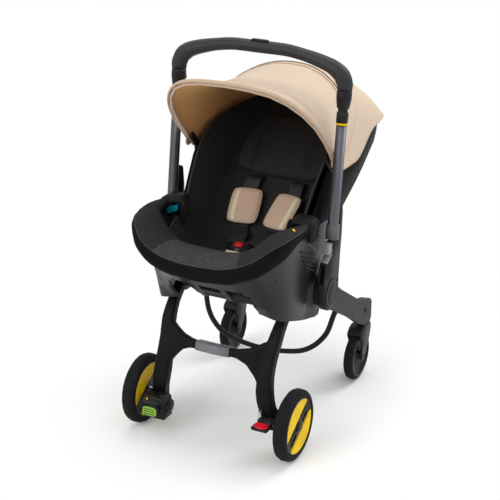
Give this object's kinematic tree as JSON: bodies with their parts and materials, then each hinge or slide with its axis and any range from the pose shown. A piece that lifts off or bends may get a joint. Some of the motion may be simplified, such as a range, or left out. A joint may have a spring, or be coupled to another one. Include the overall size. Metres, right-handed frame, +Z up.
{
  "type": "car seat stroller",
  "caption": "Infant car seat on a folding wheeled frame, with canopy, padded rim, harness, telescoping handle, swivel casters and foot brakes.",
  "frame": {"origin": "on the floor, at the centre of the overall box", "axes": "+Z up, +Y toward the head end of the seat, +X toward the side with the red brake pedal"},
  "size_m": [0.4696, 0.7902, 0.9395],
  "materials": {
    "dark_plastic": "fine matte texture",
    "grey_plastic": "satin",
    "light_plastic": "satin",
    "slate_tube": "anodised slate grey",
    "frame_metal": "matte black coating",
    "steel": "brushed",
    "tyre": "matte",
    "yellow": "satin",
    "green": "ribbed",
    "red": "gloss",
    "dark_cloth": "woven",
    "grey_cloth": "heathered weave",
    "sand_cloth": "woven, piped edges",
    "webbing": "webbing",
    "grip_cover": "grained, stitched"
  },
  "bodies": {
    "car_seat": {"seat_shell": "grey_plastic", "base_housing": "grey_plastic", "base_rail": "dark_plastic", "rim_cushion": "grey_cloth", "seat_liner": "dark_cloth", "head_pad": "dark_cloth", "body_insert": "dark_cloth", "shoulder_pad_left": "sand_cloth", "shoulder_pad_right": "sand_cloth", "harness_straps": "webbing", "crotch_strap": "dark_cloth", "buckle_housing": "dark_plastic", "adjuster_strap": "webbing", "canopy_rear": "sand_cloth", "canopy_visor": "sand_cloth", "belt_guide_left": "grey_plastic", "belt_guide_right": "grey_plastic"},
    "canopy_front": {"canopy_bow": "dark_plastic"},
    "buckle_press": {"buckle_button": "red"},
    "adjuster_press": {"adjuster_button": "dark_plastic"},
    "seat_release": {"release_handle": "dark_plastic"},
    "handle": {"arm_left": "grey_plastic", "arm_right": "grey_plastic", "hub_pin_left": "slate_tube", "hub_pin_right": "slate_tube", "handle_tube_left": "slate_tube", "handle_tube_right": "slate_tube", "ring_cap_left": "yellow", "ring_cap_right": "yellow"},
    "handle_top": {"handle_stem_left": "dark_plastic", "handle_stem_right": "dark_plastic", "grip": "grip_cover"},
    "grip_press": {"grip_button": "dark_plastic"},
    "arm_press_right": {"arm_button_right": "light_plastic"},
    "arm_press_left": {"arm_button_left": "light_plastic"},
    "legs": {"leg_frame": "frame_metal", "crossbar_sleeve": "slate_tube", "wheel_axle_left": "steel", "wheel_axle_right": "steel", "brake_housing_left": "dark_plastic", "brake_housing_right": "dark_plastic", "brake_cable": "dark_plastic"},
    "wheel_unit_right": {"tyre_right": "tyre", "wheel_right": "grey_plastic", "wheel_inset_right": "yellow"},
    "wheel_unit_left": {"tyre_left": "tyre", "wheel_left": "grey_plastic", "wheel_inset_left": "yellow"},
    "brake_right": {"brake_pedal_right": "red"},
    "brake_left": {"brake_pedal_left": "green"},
    "caster_frame": {"caster_arm_left": "frame_metal", "caster_arm_right": "frame_metal", "link_bar": "frame_metal"},
    "swivel_right": {"fork_right": "grey_plastic"},
    "swivel_left": {"fork_left": "grey_plastic"},
    "caster_unit_right": {"caster_tyre_right": "tyre", "caster_wheel_right": "dark_plastic"},
    "caster_unit_left": {"caster_tyre_left": "tyre", "caster_wheel_left": "dark_plastic"}
  },
  "joints": [
    {"name": "handle_turn", "type": "hinge", "parent": "car_seat", "child": "handle", "pos_m": [0, -0.10641, 0.365], "axis": [1, 0, 0], "range_deg": [-20, 75]},
    {"name": "handle_slide", "type": "slide", "parent": "handle", "child": "handle_top", "axis": [0, 0.1444, 0.9895], "range_m": [0, 0.15]},
    {"name": "grip_button_press", "type": "slide", "parent": "handle_top", "child": "grip_press", "axis": [0, 0, -1], "range_m": [0, 0.002], "stiffness_N_per_m": 600, "springref_m": -0.001},
    {"name": "arm_button_right_press", "type": "slide", "parent": "handle", "child": "arm_press_right", "axis": [0, 1, 0], "range_m": [0, 0.003], "stiffness_N_per_m": 600, "springref_m": -0.001},
    {"name": "arm_button_left_press", "type": "slide", "parent": "handle", "child": "arm_press_left", "axis": [0, 1, 0], "range_m": [0, 0.003], "stiffness_N_per_m": 600, "springref_m": -0.001},
    {"name": "leg_fold", "type": "hinge", "parent": "car_seat", "child": "legs", "pos_m": [0, -0.10641, 0.365], "axis": [1, 0, 0], "range_deg": [0, 90]},
    {"name": "caster_fold", "type": "hinge", "parent": "car_seat", "child": "caster_frame", "pos_m": [0, -0.10641, 0.365], "axis": [1, 0, 0], "range_deg": [0, 52.02]},
    {"name": "wheel_right_spin", "type": "hinge", "parent": "legs", "child": "wheel_unit_right", "pos_m": [0.20365, -0.27141, 0.0878], "axis": [1, 0, 0], "continuous": true},
    {"name": "wheel_left_spin", "type": "hinge", "parent": "legs", "child": "wheel_unit_left", "pos_m": [-0.20365, -0.27141, 0.0878], "axis": [1, 0, 0], "continuous": true},
    {"name": "brake_right_tip", "type": "hinge", "parent": "legs", "child": "brake_right", "pos_m": [0.152, -0.32391, 0.1015], "axis": [1, 0, 0], "range_deg": [0, 10]},
    {"name": "brake_left_tip", "type": "hinge", "parent": "legs", "child": "brake_left", "pos_m": [-0.1455, -0.33291, 0.084], "axis": [-1, 0, 0], "range_deg": [0, 10]},
    {"name": "swivel_right_turn", "type": "hinge", "parent": "caster_frame", "child": "swivel_right", "pos_m": [0.183, 0.19999, 0.15], "axis": [0, 0, 1], "continuous": true},
    {"name": "swivel_left_turn", "type": "hinge", "parent": "caster_frame", "child": "swivel_left", "pos_m": [-0.183, 0.19999, 0.15], "axis": [0, 0, 1], "continuous": true},
    {"name": "caster_right_spin", "type": "hinge", "parent": "swivel_right", "child": "caster_unit_right", "pos_m": [0.183, 0.17099, 0.066], "axis": [1, 0, 0], "continuous": true},
    {"name": "caster_left_spin", "type": "hinge", "parent": "swivel_left", "child": "caster_unit_left", "pos_m": [-0.183, 0.17099, 0.066], "axis": [1, 0, 0], "continuous": true},
    {"name": "canopy_fold", "type": "hinge", "parent": "car_seat", "child": "canopy_front", "pos_m": [0, -0.02141, 0.645], "axis": [-1, 0, 0], "range_deg": [0, 28], "deforming": ["canopy_visor"]},
    {"name": "buckle_button_press", "type": "slide", "parent": "car_seat", "child": "buckle_press", "axis": [0, 0.225, -0.9744], "range_m": [0, 0.0025], "stiffness_N_per_m": 600, "springref_m": -0.001},
    {"name": "adjuster_press", "type": "slide", "parent": "car_seat", "child": "adjuster_press", "axis": [0, -0.4384, -0.8988], "range_m": [0, 0.0012], "stiffness_N_per_m": 600, "springref_m": -0.001},
    {"name": "release_pull", "type": "slide", "parent": "car_seat", "child": "seat_release", "axis": [0, 0.9563, 0.2924], "range_m": [0, 0.012], "stiffness_N_per_m": 200, "springref_m": -0.004}
  ],
  "couplings": [
    {"joint": "caster_fold", "follows": "leg_fold", "ratio": 0.578},
    {"joint": "arm_button_left_press", "follows": "arm_button_right_press", "ratio": 1},
    {"joint": "brake_left_tip", "follows": "brake_right_tip", "ratio": 1}
  ]
}
